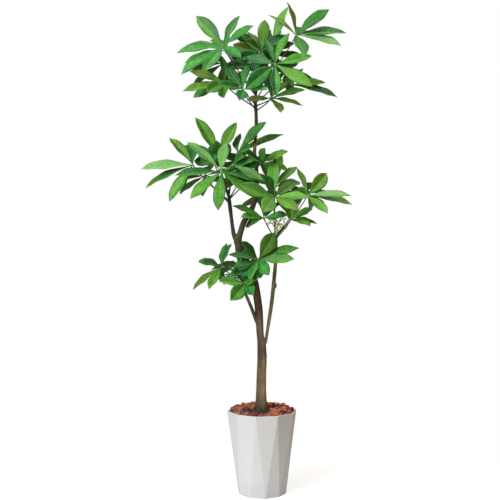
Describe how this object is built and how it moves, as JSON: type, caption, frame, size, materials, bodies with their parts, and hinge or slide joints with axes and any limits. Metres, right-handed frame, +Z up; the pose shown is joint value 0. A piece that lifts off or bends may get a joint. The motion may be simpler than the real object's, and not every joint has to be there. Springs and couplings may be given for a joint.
{
  "type": "potted money tree",
  "caption": "Tall potted money tree: a slender branched trunk with crowns of palmate leaves, standing in soil and bark chips in a tapered, faceted white pot.",
  "frame": {"origin": "centre of the pot's flat underside, on the surface it stands on", "axes": "+Z up along the tree's height, -Y towards the viewer at the front, +X to the viewer's right"},
  "size_m": [0.7813, 0.5457, 1.8093],
  "materials": {
    "pot_white": "matte",
    "soil_dark": "rough, crumbly",
    "bark_chips": "rough",
    "bark": "rough bark",
    "stalk_green": "satin",
    "leaf_green": "satin"
  },
  "bodies": {
    "root": {"pot": "pot_white", "soil": "soil_dark", "bark_chips": "bark_chips", "trunk": "bark", "shoot_top": "stalk_green", "shoot_left": "stalk_green", "shoot_right": "stalk_green", "shoot_low": "stalk_green", "leaf_top_front": "leaf_green", "leaf_top_upper_left": "leaf_green", "leaf_top_peak": "leaf_green", "leaf_top_centre": "leaf_green", "leaf_top_left": "leaf_green", "leaf_top_lower_left": "leaf_green", "leaf_top_right": "leaf_green", "leaf_top_low": "leaf_green", "leaf_top_upper_left_rear": "leaf_green", "leaf_top_inner": "leaf_green", "leaf_left_front": "leaf_green", "leaf_left_outer": "leaf_green", "leaf_left_rear": "leaf_green", "leaf_left_upper": "leaf_green", "leaf_left_inner": "leaf_green", "leaf_right_front": "leaf_green", "leaf_right_outer": "leaf_green", "leaf_right_rear": "leaf_green", "leaf_right_low_left": "leaf_green", "leaf_right_low": "leaf_green", "leaf_low_right": "leaf_green", "leaf_low_left": "leaf_green", "leaf_low_front": "leaf_green", "leaf_top_back_left": "leaf_green", "leaf_top_back": "leaf_green", "leaf_top_back_right": "leaf_green", "leaf_top_crest": "leaf_green", "leaf_left_back": "leaf_green", "leaf_left_back_outer": "leaf_green", "leaf_right_back": "leaf_green", "leaf_right_back_outer": "leaf_green", "leaf_low_back": "leaf_green"}
  },
  "joints": []
}
